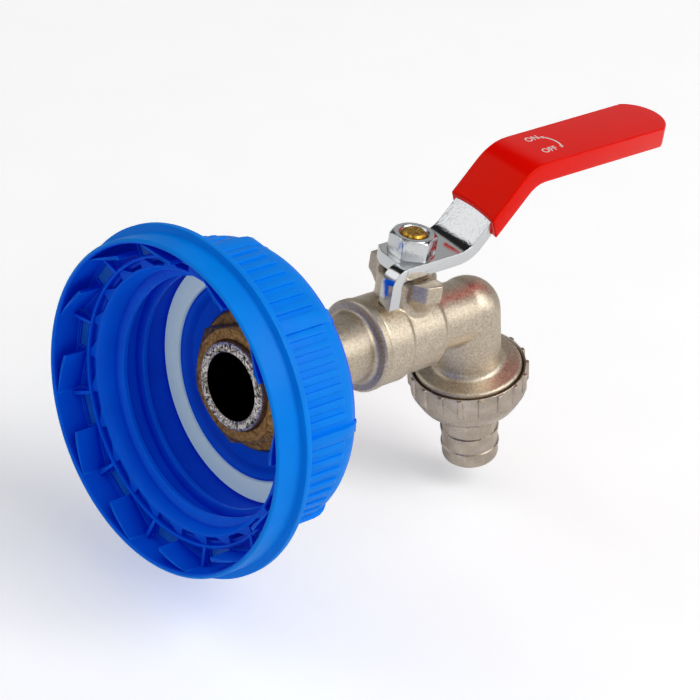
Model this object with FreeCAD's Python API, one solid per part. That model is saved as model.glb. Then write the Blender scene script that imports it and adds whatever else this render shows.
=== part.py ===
"""Canister tap: a 60 mm coarse-thread container cap that carries a quarter-turn ball tap with a hose outlet.

Millimetres, Z up. X runs from the cap through the tap to its outlet elbow, and Z runs up the lever's stem.
The shapes are made with x = 0 at the face that seals against the container's neck. Before they are saved
they are all moved along X, so that the part's origin is the middle of the cap's thread.
"""
import FreeCAD, Part
import math
import os

V = FreeCAD.Vector
ORIGIN = V(0, 0, 0)
AXIS_X = V(1, 0, 0)
AXIS_Y = V(0, 1, 0)
AXIS_Z = V(0, 0, 1)

# Clearances
thread_gap = 0.05
slip_gap = 0.05
ring_gap = 0.02
seat_gap = 0.20
loose_gap = 0.35
face_gap = 0.10

# How far a piece reaches into the one it is joined to, and a cutting shape past the surface it cuts
sink = 0.3
overrun = 1.0

# Small broken edges on turned pieces
edge_break = 0.3
soft_edge = 0.5

# Container thread in the cap
neck_root_r = 29.9
neck_thread_depth = 2.3
neck_crest_r = neck_root_r - neck_thread_depth
neck_pitch = 6.0
neck_ridges = 2
neck_ridge_first = -12.5
neck_crest_width = 1.3
neck_base_width = 3.6
neck_thread_middle = neck_ridge_first + (neck_ridges - 1) * neck_pitch / 2

# Cap
cap_front = -18.6
skirt_wall = 1.7
skirt_r = neck_root_r + skirt_wall
leadin_length = 2.4
leadin_depth = 1.1
core_depth = 12.0
core_gap = 1.4
core_wall = 1.7
grip_front = -17.3
grip_valley_r = skirt_r + core_gap + core_wall
grip_rib_height = 0.6
grip_rib_width = 1.7
grip_lug_height = 1.7
grip_lug_width = 3.2
grip_lugs = 8
grip_lug_first_angle = 124.0
ribs_per_lug = 7
grip_end = -1.1
grip_rib_end = -0.5
grip_lug_end = 1.9
grip_end_slope = 1.2
cap_rear = 4.6
cap_shoulder_drop = 4.8
cap_rear_r = grip_valley_r - cap_shoulder_drop
cap_shoulder_bulge = 0.2
cap_floor = 2.1
seal_thickness = 2.5
seal_play = 1.1
seal_width = 4.8
seal_outer_r = neck_root_r - seal_play
seal_inner_r = seal_outer_r - seal_width
ridge_width = 1.5
ridge_foot = 1.3
ridge_front = 0.4

# Tamper band, from its ring outwards; angles on it are measured back from a pawl's free edge
band_front = -25.9
band_step = -19.2
band_rear = -17.7
band_ring_front = -20.0
bridge_gap = 1.7
band_ring_wall = 0.8
pawl_tip_gap = 0.5
pawl_reach = 3.4
band_wall = 1.2
band_flange_reach = 1.9
band_ring_r = skirt_r + bridge_gap
band_ring_outer_r = band_ring_r + band_ring_wall
pawl_tip_r = band_ring_outer_r + pawl_tip_gap
band_inner_r = pawl_tip_r + pawl_reach
band_outer_r = band_inner_r + band_wall
band_flange_r = band_outer_r + band_flange_reach
pawls = 12
pawl_first_angle = -7.0
pawl_sweep = 16.0
pawl_thickness = 1.0
pawl_root_thickness = 3.5
pawl_front = -25.2
pawl_notch_width = 2.4
pawl_notch_depth = 0.7
pocket_floor = 0.4
pocket_margin = 0.6
wedge_angles = (2.0, 15.4)
window_angles = (17.8, 29.4)
web_angle = 16.6
web_width = 0.9
web_front = -20.6
bridge_ring_angles = (-1.2, 1.0)
bridge_skirt_angles = (-1.5, 7.0)

# Inlet connector and what clamps it in the cap
nipple_end = -5.35
nipple_r = 10.45
nipple_chamfer = 0.6
nipple_bore_r = 8.05
nipple_bore_end = 9.5
washer_thickness = 1.6
washer_r = 14.8
nipple_taper = 2.0
shoulder_r = 14.6
shoulder_thickness = 2.0
spanner_flats = 24.0
spanner_length = 6.0
shank_r = 8.3
inlet_bore_r = 5.2
collar_front = 33.1
collar_r = 11.2
collar_edge = 0.5
collar_root_r = 1.2
groove_play = 0.3
locknut_flange_r = 16.8
locknut_flange_thickness = 1.5
locknut_flats = 27.0
locknut_hex_length = 4.2
locknut_chamfer = 1.4

# Valve body
barrel_edge = 0.4
seam = 35.1
barrel_r = 10.9
middle_start = 43.3
middle_r = 10.2
middle_end = 54.3
middle_taper = 2.0
spigot_r = 9.2
chamber_r = 8.2
oring_section = 1.44
oring_from_seam = 1.0
stem_x = 47.35
elbow_r = 7.8
outlet_x = 70.45
outlet_tilt = 14.0
outlet_tube_r = 8.2
passage_r = 4.8

# Ball and seats
ball_r = 7.2
port_r = 4.3
seat_back = 6.05
seat_front = 3.2
seat_bore_r = 4.6
seat_side_gap = 0.1
slot_width = 3.0
slot_floor = 4.7
tang_r = 3.0

# Stem, packing and lever seat
stem_r = 3.5
stem_shoulder_r = 4.8
stem_shoulder_bottom = 8.3
stem_shoulder_top = 9.3
thrust_thickness = 0.6
stem_groove_bottom = 10.1
stem_groove_height = 1.2
stem_oring_section = 1.0
packing_bottom = 12.4
packing_height = 1.6
packing_r = 5.0
boss_r = 7.0
boss_top = 16.4
gland_flats = 10.0
gland_head = 1.2
gland_rim = 1.4
stem_flats = 5.2
stem_thread_r = 2.95
stem_top = 27.1

# Lever and its sleeve
plate_top = 21.6
plate_thickness = 3.2
lever_half_width = 6.3
lever_end_fullness = 0.6
bend_first = 13.1
bend_second = 29.9
grip_top = 39.1
bend_radius = 4.5
lever_reach = 78.4
plate_back = 8.4
tab_inner = 7.8
tab_side_near = 6.4
tab_side_far = 2.5
tab_bottom = 11.6
tab_bend = 2.2
heel_cut = 2.1
heel_side = 3.6
heel_overlap = 0.5
sleeve_wall = 1.25
sleeve_edge = 1.0
sleeve_bare_rise = 7.1
sleeve_mouth_tilt = 9.0
nut_flats = 10.0
nut_height = 5.2
nut_angle = 22.0

# Stop lugs, as places round the stem
lug_top = 17.2
lug_bottom = 13.0
lug_foot = 8.5
lug_reach = 10.7
lug_back = 2.6
lug_chamfer = 1.3
lug_foot_scale = (0.75, 0.62)
near_lug_inner = (-4.6, -6.5)
near_lug_outer = (-2.6, -9.9)
far_lug_inner = (-3.6, 6.2)
far_lug_face = -2.3
far_lug_knee = 7.4

# Outlet, union nut and hose tail, measured along the outlet's axis from the elbow's corner
outlet_cone_start = 15.6
outlet_thread_start = 16.5
outlet_thread_end = 22.6
outlet_thread_r = 13.2
outlet_edge = 0.6
outlet_mouth_r = 8.3
outlet_mouth_depth = 5.3
outlet_mouth_cone = 3.0
outlet_fillet = 1.6
hose_washer_thickness = 1.6
hose_washer_bore_r = 7.4
tail_flange_r = 11.2
tail_flange_thickness = 1.8
tail_neck_r = 6.8
tail_bore_r = 5.1
barb_r = 7.2
barb_first = 35.8
barb_second = 40.7
barb_land = 1.2
barb_step = 0.3
barb_root_r = 6.75
tail_end = 45.1
tail_tip_r = 6.0
tail_tip_length = 0.7
tail_tip_bulge = 0.65
tail_bore_edge = 0.4
nut_rim = 16.9
nut_outer_r = 14.2
nut_rib_r = 14.9
nut_ribs = 18
nut_rib_first_angle = 11.2
nut_rib_width = 1.7
nut_rib_end = 23.4
nut_rib_slope = 1.2
nut_dome_start = 23.5
nut_dome_middle = (26.8, 12.35)
nut_bottom = 29.3
nut_bottom_r = 9.6
nut_cavity_r = 11.6
nut_relief = 0.6
nut_thread_overrun = 0.8


def outline(start, *steps):
    """A flat face in XY from corner points; a step of two points is an arc through the first to the second."""
    edges = []
    here = V(start[0], start[1], 0)
    for step in steps + (start,):
        if isinstance(step[0], tuple):
            middle = V(step[0][0], step[0][1], 0)
            there = V(step[1][0], step[1][1], 0)
            edges.append(Part.Arc(here, middle, there).toShape())
        else:
            there = V(step[0], step[1], 0)
            if here.distanceToPoint(there) > 1e-6:
                edges.append(Part.LineSegment(here, there).toShape())
        here = there
    return Part.Face(Part.Wire(edges))


def turned(face):
    """A face given as (x, radius), turned about the X axis."""
    return face.revolve(ORIGIN, AXIS_X, 360)


def ring(x1, x2, inner, outer):
    """A plain ring or disc about X."""
    solid = Part.makeCylinder(outer, x2 - x1, V(x1, 0, 0), AXIS_X)
    if inner:
        solid = solid.cut(Part.makeCylinder(inner, x2 - x1, V(x1, 0, 0), AXIS_X))
    return solid


def on_stem(shape):
    """A copy of a shape made about X, moved so that its axis is the stem, with x as height."""
    moved = shape.copy()
    moved.rotate(ORIGIN, AXIS_Y, -90)
    moved.translate(V(stem_x, 0, 0))
    return moved


def on_outlet(shape):
    """A copy of a shape made about X, moved so that its axis is the outlet's, with x as the way down it."""
    moved = shape.copy()
    moved.rotate(ORIGIN, AXIS_Y, 90 - outlet_tilt)
    moved.translate(V(outlet_x, 0, 0))
    return moved


def prism_x(points, x1, x2):
    """A prism along X over corner points given as (y, z)."""
    corners = [V(x1, y, z) for y, z in points]
    face = Part.Face(Part.makePolygon(corners + corners[:1]))
    return face.extrude(V(x2 - x1, 0, 0))


def prism_z(points, z1, z2):
    """A prism along Z over corner points given as (x, y) from the stem."""
    corners = [V(stem_x + x, y, z1) for x, y in points]
    face = Part.Face(Part.makePolygon(corners + corners[:1]))
    return face.extrude(V(0, 0, z2 - z1))


def hexagon(flats, x1, x2):
    """A hexagonal bar along X with one corner up."""
    corner_r = flats / math.sqrt(3)
    points = [polar(corner_r, 90 + 60 * i) for i in range(6)]
    return prism_x(points, x1, x2)


def polar(radius, degrees):
    """(y, z) of a point at a radius and an angle from +Y towards +Z."""
    angle = math.radians(degrees)
    return (radius * math.cos(angle), radius * math.sin(angle))


def spun(shape, count, first=0.0):
    """Copies of a shape at even angles about X."""
    copies = []
    for i in range(count):
        copy = shape.copy()
        copy.rotate(ORIGIN, AXIS_X, first + 360.0 * i / count)
        copies.append(copy)
    return copies


def make_cap():
    """The screw cap: thread wall, cored grip wall with ribs and lugs, end plate and seal ridge."""
    core_end = grip_front + core_depth
    ridge_outer = seal_inner_r - loose_gap
    hole_r = nipple_r + loose_gap
    shoulder_x = 0.5 * (grip_end + cap_rear) + cap_shoulder_bulge
    shoulder_mid_r = 0.5 * (grip_valley_r + cap_rear_r) + cap_shoulder_bulge
    body = turned(outline(
        (cap_front, neck_root_r + leadin_depth), (cap_front, skirt_r), (core_end, skirt_r),
        (core_end, grip_valley_r - core_wall), (grip_front, grip_valley_r - core_wall),
        (grip_front, grip_valley_r), (grip_end, grip_valley_r),
        ((shoulder_x, shoulder_mid_r), (cap_rear, cap_rear_r)),
        (cap_rear, hole_r), (cap_floor, hole_r),
        (cap_floor, ridge_outer - ridge_width - ridge_foot), (ridge_front, ridge_outer - ridge_width),
        (0.0, ridge_outer),
        (seal_thickness, ridge_outer), (seal_thickness, neck_root_r),
        (cap_front + leadin_length, neck_root_r)))
    for i in range(neck_ridges):
        x = neck_ridge_first + i * neck_pitch
        flank = neck_root_r + sink
        ridge = turned(outline(
            (x - neck_base_width / 2, flank), (x - neck_crest_width / 2, neck_crest_r),
            (x + neck_crest_width / 2, neck_crest_r), (x + neck_base_width / 2, flank)))
        body = body.fuse(ridge)
    step = 360.0 / (grip_lugs * (ribs_per_lug + 1))
    rib = make_rib(grip_rib_width, grip_rib_height, grip_rib_height, grip_rib_end)
    lug = make_rib(grip_lug_width, grip_lug_height, grip_rib_height, grip_lug_end)
    raised = []
    for sector in range(grip_lugs):
        start = grip_lug_first_angle + 360.0 * sector / grip_lugs
        raised.append(turned_by(lug, start))
        for i in range(ribs_per_lug):
            raised.append(turned_by(rib, start + step * (i + 1)))
    return body.multiFuse(raised).removeSplitter()


def make_rib(width, height_first, height_last, rib_end):
    """One grip rib at angle 0, higher on its first side, ending in a slope on the cap's rear shoulder."""
    root = grip_valley_r - core_wall / 2
    top = grip_valley_r + height_first
    corners = [(root, 0), (top, 0), (grip_valley_r + height_last, width), (root, width)]
    rib = prism_x(corners, grip_front, rib_end)
    side = outline((grip_front, root), (grip_front, top), (rib_end - grip_end_slope, top), (rib_end, root))
    return rib.common(side.extrude(V(0, 0, width)))


def turned_by(shape, degrees):
    """A copy of a shape turned about X."""
    copy = shape.copy()
    copy.rotate(ORIGIN, AXIS_X, degrees)
    return copy


def make_band():
    """The tamper band: rim wall, flange, ledge with pockets, ratchet pawls, webs and bridges to the cap."""
    body = turned(outline(
        (band_front, band_inner_r + edge_break), (band_front, band_outer_r - edge_break),
        (band_front + edge_break, band_outer_r),
        (band_step, band_outer_r), (band_step, band_flange_r), (band_rear, band_flange_r),
        (band_rear, band_ring_r), (band_ring_front, band_ring_r), (band_ring_front, band_ring_outer_r),
        (band_step, band_ring_outer_r), (band_step, band_inner_r), (band_front + edge_break, band_inner_r)))
    pockets = spun(make_wedge_pocket(), pawls, pawl_first_angle)
    pockets += spun(make_window(), pawls, pawl_first_angle)
    body = body.cut(Part.makeCompound(pockets))
    added = spun(make_pawl(), pawls, pawl_first_angle) + spun(make_web(), pawls, pawl_first_angle)
    added += spun(make_bridge(), 2 * pawls, pawl_first_angle)
    return body.multiFuse(added).removeSplitter()


def make_pocket(points):
    """A hollow in the ledge over corner points given as (y, z), up to the ring and down to a thin floor."""
    pocket = prism_x(points, band_step - overrun, band_rear - pocket_floor)
    return pocket.cut(ring(band_front, band_rear, 0, band_ring_outer_r))


def make_wedge_pocket():
    """The wedge-shaped pocket between the ring and the pawl that ends at angle 0."""
    first, last = wedge_angles
    return make_pocket([polar(band_ring_r, -first), polar(pawl_tip_r, -first),
                        polar(band_inner_r - pocket_margin, -last), polar(band_ring_r, -last)])


def make_window():
    """The four-sided pocket between a pawl's root and the next pawl's free edge."""
    outer_r = band_inner_r - pocket_margin
    first, last = window_angles
    return make_pocket([polar(band_ring_r, -first), polar(outer_r, -first), polar(outer_r, -last),
                        polar(band_ring_r, -last)])


def make_pawl():
    """One ratchet pawl: a leaf from the rim wall to a free tip at angle 0."""
    root_r = band_inner_r + sink
    root_angle = math.degrees(pawl_root_thickness / root_r)
    points = [polar(pawl_tip_r, 0), polar(pawl_tip_r + pawl_thickness, 0),
              polar(root_r, root_angle - pawl_sweep), polar(root_r, -pawl_sweep)]
    leaf = prism_x(points, pawl_front, band_rear - pocket_floor)
    notch = Part.makeBox(pawl_notch_depth + overrun, pawl_thickness + 2 * overrun, pawl_notch_width + overrun,
                         V(pawl_front - overrun, pawl_tip_r - overrun, -pawl_notch_width))
    return leaf.cut(notch)


def make_web():
    """The small radial web that ties the ring to the rim wall behind a pawl's root."""
    half = web_width / 2
    web = prism_x([(band_ring_outer_r - sink, -half), (band_inner_r + sink, -half),
                   (band_inner_r + sink, half), (band_ring_outer_r - sink, half)],
                  web_front, band_rear - pocket_floor)
    return turned_by(web, -web_angle)


def make_bridge():
    """One breakable bridge from the band's ring to the cap's skirt, wide and slanted at the skirt."""
    inner_r = skirt_r - sink
    outer_r = band_ring_r + sink
    points = [polar(inner_r, bridge_skirt_angles[0]), polar(outer_r, bridge_ring_angles[0]),
              polar(outer_r, bridge_ring_angles[1]), polar(inner_r, bridge_skirt_angles[1])]
    return prism_x(points, cap_front, band_rear).cut(ring(cap_front, band_rear, 0, skirt_r))


def make_cap_seal():
    """The flat ring that seals on the container's neck."""
    return ring(0, seal_thickness, seal_inner_r, seal_outer_r)


def make_lock_nut():
    """The hexagonal nut with a round flange that clamps the connector in the cap."""
    flange_front = cap_floor - locknut_flange_thickness
    hex_front = flange_front - locknut_hex_length
    round_r = locknut_flats / math.sqrt(3) + edge_break
    cone = turned(outline(
        (hex_front, 0), (hex_front, locknut_flats / 2 - edge_break), (hex_front + locknut_chamfer, round_r),
        (flange_front, round_r), (flange_front, 0)))
    nut = hexagon(locknut_flats, hex_front, flange_front).common(cone)
    flange = turned(outline(
        (flange_front, 0), (flange_front, locknut_flange_r - soft_edge),
        (flange_front + soft_edge, locknut_flange_r), (cap_floor, locknut_flange_r), (cap_floor, 0)))
    bore_r = nipple_r + thread_gap
    bore = turned(outline(
        (hex_front - overrun, 0), (hex_front - overrun, bore_r + soft_edge + overrun),
        (hex_front + soft_edge, bore_r), (cap_floor + overrun, bore_r), (cap_floor + overrun, 0)))
    return nut.fuse(flange).cut(bore).removeSplitter()


def make_connector():
    """The turned inlet connector: threaded nipple, clamping shoulder, shank, collar and body spigot."""
    shoulder_front = cap_rear + washer_thickness
    shoulder_end = shoulder_front + shoulder_thickness
    spigot_end = stem_x - seat_back
    groove_front = seam + oring_from_seam
    groove_end = groove_front + oring_section + groove_play
    groove_r = spigot_r - oring_section - slip_gap
    root_bulge = collar_root_r * (1 - math.sqrt(0.5))
    body = turned(outline(
        (nipple_end, nipple_bore_r + soft_edge), (nipple_end, nipple_r - nipple_chamfer),
        (nipple_end + nipple_chamfer, nipple_r), (shoulder_front, nipple_r), (shoulder_front, shoulder_r),
        (shoulder_end, shoulder_r), (shoulder_end, shank_r),
        (collar_front - collar_root_r, shank_r),
        ((collar_front - root_bulge, shank_r + root_bulge), (collar_front, shank_r + collar_root_r)),
        (collar_front, collar_r - collar_edge), (collar_front + collar_edge, collar_r), (seam, collar_r),
        (seam, spigot_r), (groove_front, spigot_r), (groove_front, groove_r), (groove_end, groove_r),
        (groove_end, spigot_r), (spigot_end, spigot_r), (spigot_end, inlet_bore_r),
        (nipple_bore_end + nipple_taper, inlet_bore_r), (nipple_bore_end, nipple_bore_r),
        (nipple_end + soft_edge, nipple_bore_r)))
    flats = hexagon(spanner_flats, shoulder_end, shoulder_end + spanner_length)
    flats = flats.cut(ring(shoulder_end, shoulder_end + spanner_length, 0, shank_r - sink))
    return body.fuse(flats).removeSplitter()


def make_torus(centre_x, inner_r, section):
    """A round seal ring about X that rests on its inner radius."""
    return Part.makeTorus(inner_r + section / 2, section / 2, V(centre_x, 0, 0), AXIS_X)


def make_body():
    """The cast valve body: barrel, stem boss with stop lugs, elbow and threaded outlet, with its passages."""
    barrel = turned(outline(
        (seam, 0), (seam, barrel_r - edge_break), (seam + edge_break, barrel_r),
        (middle_start - barrel_edge, barrel_r), (middle_start, middle_r), (middle_end - barrel_edge, middle_r),
        (middle_end, middle_r - barrel_edge),
        (middle_end + middle_taper, elbow_r), (outlet_x, elbow_r), (outlet_x, 0)))
    corner = Part.makeSphere(outlet_tube_r, V(outlet_x, 0, 0))
    fillet_bulge = outlet_fillet * (1 - math.sqrt(0.5))
    outlet = on_outlet(turned(outline(
        (0, 0), (0, outlet_tube_r), (outlet_cone_start - outlet_fillet, outlet_tube_r),
        ((outlet_cone_start - fillet_bulge, outlet_tube_r + fillet_bulge),
         (outlet_cone_start, outlet_tube_r + outlet_fillet)),
        (outlet_thread_start - edge_break, outlet_thread_r - soft_edge), (outlet_thread_start, outlet_thread_r),
        (outlet_thread_end - outlet_edge, outlet_thread_r), (outlet_thread_end, outlet_thread_r - outlet_edge),
        (outlet_thread_end, 0))))
    boss = on_stem(ring(0, boss_top, 0, boss_r))
    solid = barrel.multiFuse([corner, outlet, boss] + make_lugs())
    cuts = [
        ring(seam, stem_x - seat_back, 0, spigot_r + thread_gap),
        ring(stem_x - seat_back, stem_x + seat_back, 0, chamber_r),
        ring(stem_x, outlet_x, 0, passage_r),
        Part.makeSphere(passage_r, V(outlet_x, 0, 0)),
        on_outlet(turned(outline(
            (0, 0), (0, passage_r), (outlet_thread_end - outlet_mouth_depth - outlet_mouth_cone, passage_r),
            (outlet_thread_end - outlet_mouth_depth, outlet_mouth_r),
            (outlet_thread_end + overrun, outlet_mouth_r), (outlet_thread_end + overrun, 0)))),
        on_stem(ring(0, stem_shoulder_top + thrust_thickness, 0, stem_shoulder_r + seat_gap)),
        on_stem(ring(0, packing_bottom, 0, stem_r + slip_gap)),
        on_stem(ring(packing_bottom, boss_top, 0, packing_r + thread_gap)),
    ]
    return solid.cut(Part.makeCompound(cuts)).removeSplitter()


def make_lugs():
    """The two cast lugs beside the stem that stop the lever's tab."""
    near = [near_lug_inner, near_lug_outer, (lug_back - lug_chamfer, -lug_reach),
            (lug_back, lug_chamfer - lug_reach), (lug_back, 0), (near_lug_inner[0], 0)]
    far = [far_lug_inner, (far_lug_face, far_lug_knee), (far_lug_face, lug_reach),
           (lug_back - lug_chamfer, lug_reach), (lug_back, lug_reach - lug_chamfer), (lug_back, 0),
           (far_lug_inner[0], 0)]
    lugs = []
    for points in (near, far):
        block = prism_z(points, lug_bottom, lug_top)
        foot_points = [(lug_foot_scale[0] * x, lug_foot_scale[1] * y) for x, y in points]
        top_wire = Part.makePolygon([V(stem_x + x, y, lug_bottom) for x, y in points + points[:1]])
        foot_wire = Part.makePolygon([V(stem_x + x, y, lug_foot) for x, y in foot_points + foot_points[:1]])
        lugs.append(block)
        lugs.append(Part.makeLoft([foot_wire, top_wire], True, True))
    above = on_stem(ring(boss_top, lug_top, 0, packing_r + gland_rim))
    return [lug.cut(above) for lug in lugs]


def make_seat(side):
    """A ball seat ring on the inlet side (-1) or the outlet side (+1)."""
    near = stem_x + side * seat_front
    back = stem_x + side * seat_back
    seat = ring(min(near, back), max(near, back), seat_bore_r, chamber_r - seat_side_gap)
    return seat.cut(Part.makeSphere(ball_r + seat_gap, V(stem_x, 0, 0)))


def make_ball():
    """The ball with its port along X and the stem's slot across its top."""
    ball = Part.makeSphere(ball_r, V(stem_x, 0, 0))
    port = ring(stem_x - ball_r, stem_x + ball_r, 0, port_r)
    slot = Part.makeBox(slot_width, 2 * ball_r, ball_r, V(stem_x - slot_width / 2, -ball_r, slot_floor))
    return ball.cut(port).cut(slot)


def make_stem():
    """The stem: tang in the ball's slot, inner shoulder, seal groove, lever flats and nut thread."""
    groove_r = stem_r - stem_oring_section
    groove_top = stem_groove_bottom + stem_groove_height
    tang_bottom = slot_floor + seat_gap
    flats_bottom = plate_top - plate_thickness
    stem = on_stem(turned(outline(
        (tang_bottom, 0), (tang_bottom, tang_r), (stem_shoulder_bottom, tang_r),
        (stem_shoulder_bottom, stem_shoulder_r), (stem_shoulder_top, stem_shoulder_r),
        (stem_shoulder_top, stem_r), (stem_groove_bottom, stem_r), (stem_groove_bottom, groove_r),
        (groove_top, groove_r), (groove_top, stem_r),
        (plate_top, stem_r), (plate_top, stem_thread_r), (stem_top - soft_edge, stem_thread_r),
        (stem_top, stem_thread_r - soft_edge), (stem_top, 0))))
    tang_half = slot_width / 2 - slip_gap
    tang_height = stem_shoulder_bottom - tang_bottom
    for side in (-1, 1):
        x = stem_x + tang_half if side > 0 else stem_x - tang_half - stem_r
        stem = stem.cut(Part.makeBox(stem_r, 2 * stem_r, tang_height, V(x, -stem_r, tang_bottom)))
        y = stem_flats / 2 if side > 0 else -stem_flats / 2 - stem_r
        stem = stem.cut(Part.makeBox(2 * stem_r, stem_r, plate_thickness, V(stem_x - stem_r, y, flats_bottom)))
    return stem


def make_gland_nut():
    """The small nut that presses the packing down in the boss."""
    bottom = packing_bottom + packing_height
    nut = on_stem(ring(bottom, boss_top, stem_r + slip_gap, packing_r))
    head = hexagon(gland_flats, boss_top, boss_top + gland_head)
    head = on_stem(head.cut(ring(boss_top, boss_top + gland_head, 0, stem_r + slip_gap)))
    return nut.fuse(head).removeSplitter()


def lever_path(offset):
    """The lever's bent line seen from the side, as (x from stem, z), a given way below its upper face."""
    rise = grip_top - plate_top
    run = bend_second - bend_first
    slope = math.atan2(rise, run)
    shift = offset * math.tan(slope / 2)
    return slope, (bend_first + shift, plate_top - offset), (bend_second + shift, grip_top - offset)


def rounded_bend(corner, slope_in, slope_out, radius):
    """Tangent point, middle and tangent point of an arc at a corner between two directions."""
    turn = slope_out - slope_in
    reach = radius * math.tan(abs(turn) / 2)
    first = (corner[0] - reach * math.cos(slope_in), corner[1] - reach * math.sin(slope_in))
    last = (corner[0] + reach * math.cos(slope_out), corner[1] + reach * math.sin(slope_out))
    side = 1 if turn > 0 else -1
    centre = (first[0] - side * radius * math.sin(slope_in), first[1] + side * radius * math.cos(slope_in))
    towards = math.atan2(corner[1] - centre[1], corner[0] - centre[0])
    middle = (centre[0] + radius * math.cos(towards), centre[1] + radius * math.sin(towards))
    return first, middle, last


def bent_strip(top_offset, bottom_offset, start, end, half_width):
    """A strip that follows the lever's bends between two offsets below its upper face."""
    slope, top_a, top_b = lever_path(top_offset)
    _, low_a, low_b = lever_path(bottom_offset)
    upper_first = bend_radius + top_offset
    lower_first = bend_radius + bottom_offset
    upper_second = bend_radius + plate_thickness - top_offset
    lower_second = bend_radius + plate_thickness - bottom_offset
    a1, a2, a3 = rounded_bend(top_a, 0, slope, upper_first)
    b1, b2, b3 = rounded_bend(top_b, slope, 0, upper_second)
    c1, c2, c3 = rounded_bend(low_b, slope, 0, lower_second)
    d1, d2, d3 = rounded_bend(low_a, 0, slope, lower_first)
    face = outline((start, top_a[1]), a1, (a2, a3), b1, (b2, b3), (end, top_b[1]), (end, low_b[1]),
                   c3, (c2, c1), d3, (d2, d1), (start, low_a[1]))
    strip = face.extrude(V(0, 0, 2 * half_width))
    strip.Placement = FreeCAD.Placement(V(stem_x, half_width, 0), FreeCAD.Rotation(AXIS_X, 90))
    return strip


def stadium(start_x, end_x, half_width, end_r):
    """A plan shape from a straight end at start to a rounded end, as a prism taller than the lever."""
    height = 2 * grip_top
    body = Part.makeBox(end_x - end_r - start_x, 2 * half_width, height, V(start_x, -half_width, 0))
    tip = Part.makeCylinder(end_r, height, V(end_x - end_r, 0, 0), AXIS_Z)
    keep = Part.makeBox(2 * end_r, 2 * half_width, height, V(end_x - end_r, -half_width, 0))
    return body.fuse(tip.common(keep))


def make_lever():
    """The bent steel lever with its stop tab and double-flat stem hole."""
    strip = bent_strip(0, plate_thickness, -plate_back, lever_reach, lever_half_width)
    tip_r = lever_half_width + lever_end_fullness
    plan = stadium(stem_x - plate_back - overrun, stem_x + lever_reach, lever_half_width, tip_r)
    lever = strip.common(plan)
    low = plate_top - plate_thickness
    heel_back = heel_overlap - plate_back
    heel = [(-tab_inner - plate_thickness, -tab_side_near), (-tab_inner - plate_thickness, -tab_side_far),
            (heel_back, heel_side), (heel_back + heel_cut, lever_half_width), (0, lever_half_width),
            (0, -lever_half_width), (-tab_inner, -lever_half_width)]
    lever = lever.cut(Part.makeBox(plate_back + overrun, 4 * lever_half_width, 2 * plate_thickness,
                                   V(stem_x - plate_back - overrun, -2 * lever_half_width, low - overrun)))
    lever = lever.fuse(prism_z(heel, low, plate_top))
    tab_points = [(-tab_inner - plate_thickness, -tab_side_near), (-tab_inner, -tab_side_near),
                  (-tab_inner, -tab_side_far), (-tab_inner - plate_thickness, -tab_side_far)]
    lever = lever.fuse(prism_z(tab_points, tab_bottom, plate_top)).removeSplitter()
    lever = rounded_tab_edge(lever)
    hole = on_stem(ring(low - overrun, plate_top + overrun, 0, stem_r + slip_gap))
    half = stem_flats / 2 + slip_gap
    keep = Part.makeBox(4 * stem_r, 2 * half, 4 * plate_thickness, V(stem_x - 2 * stem_r, -half, low - overrun))
    return lever.cut(hole.common(keep))


def rounded_tab_edge(lever):
    """Rounds the outer edge where the stop tab is bent down."""
    edge_x = stem_x - tab_inner - plate_thickness
    chosen = []
    for edge in lever.Edges:
        box = edge.BoundBox
        level = abs(box.ZMin - plate_top) < 0.01 and abs(box.ZMax - plate_top) < 0.01
        if level and abs(box.XMin - edge_x) < 0.01 and abs(box.XMax - edge_x) < 0.01:
            chosen.append(edge)
    return lever.makeFillet(tab_bend, chosen)


def make_sleeve():
    """The dipped plastic sleeve over the lever's rising part and grip, closed at its end."""
    rise = grip_top - plate_top
    run = bend_second - bend_first
    slope = math.atan2(rise, run)
    half = lever_half_width + sleeve_wall
    outer = bent_strip(-sleeve_wall, plate_thickness + sleeve_wall, 0, lever_reach + sleeve_wall, half)
    tip_r = half + lever_end_fullness
    outer = outer.common(stadium(stem_x, stem_x + lever_reach + sleeve_wall, half, tip_r))
    start = (bend_first + sleeve_bare_rise * math.cos(slope), plate_top + sleeve_bare_rise * math.sin(slope))
    bare = Part.makeBox(2 * bend_second, 2 * lever_reach, 2 * lever_reach,
                        V(-2 * bend_second, -lever_reach, -lever_reach))
    bare.rotate(ORIGIN, AXIS_Z, -sleeve_mouth_tilt)
    bare.rotate(ORIGIN, AXIS_Y, -math.degrees(slope))
    bare.translate(V(stem_x + start[0], 0, start[1]))
    outer = rounded_long_edges(outer.cut(bare), half)
    return outer.cut(make_lever())


def rounded_long_edges(sleeve, half):
    """Rounds the sleeve's long edges along both sides."""
    chosen = []
    for edge in sleeve.Edges:
        box = edge.BoundBox
        along = box.YMax - box.YMin < 0.01 and abs(abs(box.YMin) - half) < 0.01
        if along and edge.Length > 2 * sleeve_wall and box.XMax - box.XMin > 2 * sleeve_edge:
            chosen.append(edge)
    return sleeve.makeFillet(sleeve_edge, chosen)


def make_lever_nut():
    """The hexagonal nut that holds the lever on the stem."""
    round_r = nut_flats / math.sqrt(3) + edge_break
    flat_r = nut_flats / 2
    bore_r = stem_thread_r + thread_gap
    top = plate_top + nut_height
    cone = turned(outline(
        (plate_top, 0), (plate_top, flat_r), (plate_top + soft_edge, round_r), (top - soft_edge, round_r),
        (top, flat_r - edge_break), (top, 0)))
    bore = turned(outline(
        (plate_top - overrun, 0), (plate_top - overrun, bore_r), (top - soft_edge, bore_r),
        (top + overrun, bore_r + soft_edge + overrun), (top + overrun, 0)))
    nut = hexagon(nut_flats, plate_top, top).common(cone).cut(bore)
    nut.rotate(ORIGIN, AXIS_X, nut_angle)
    return on_stem(nut)


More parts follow.
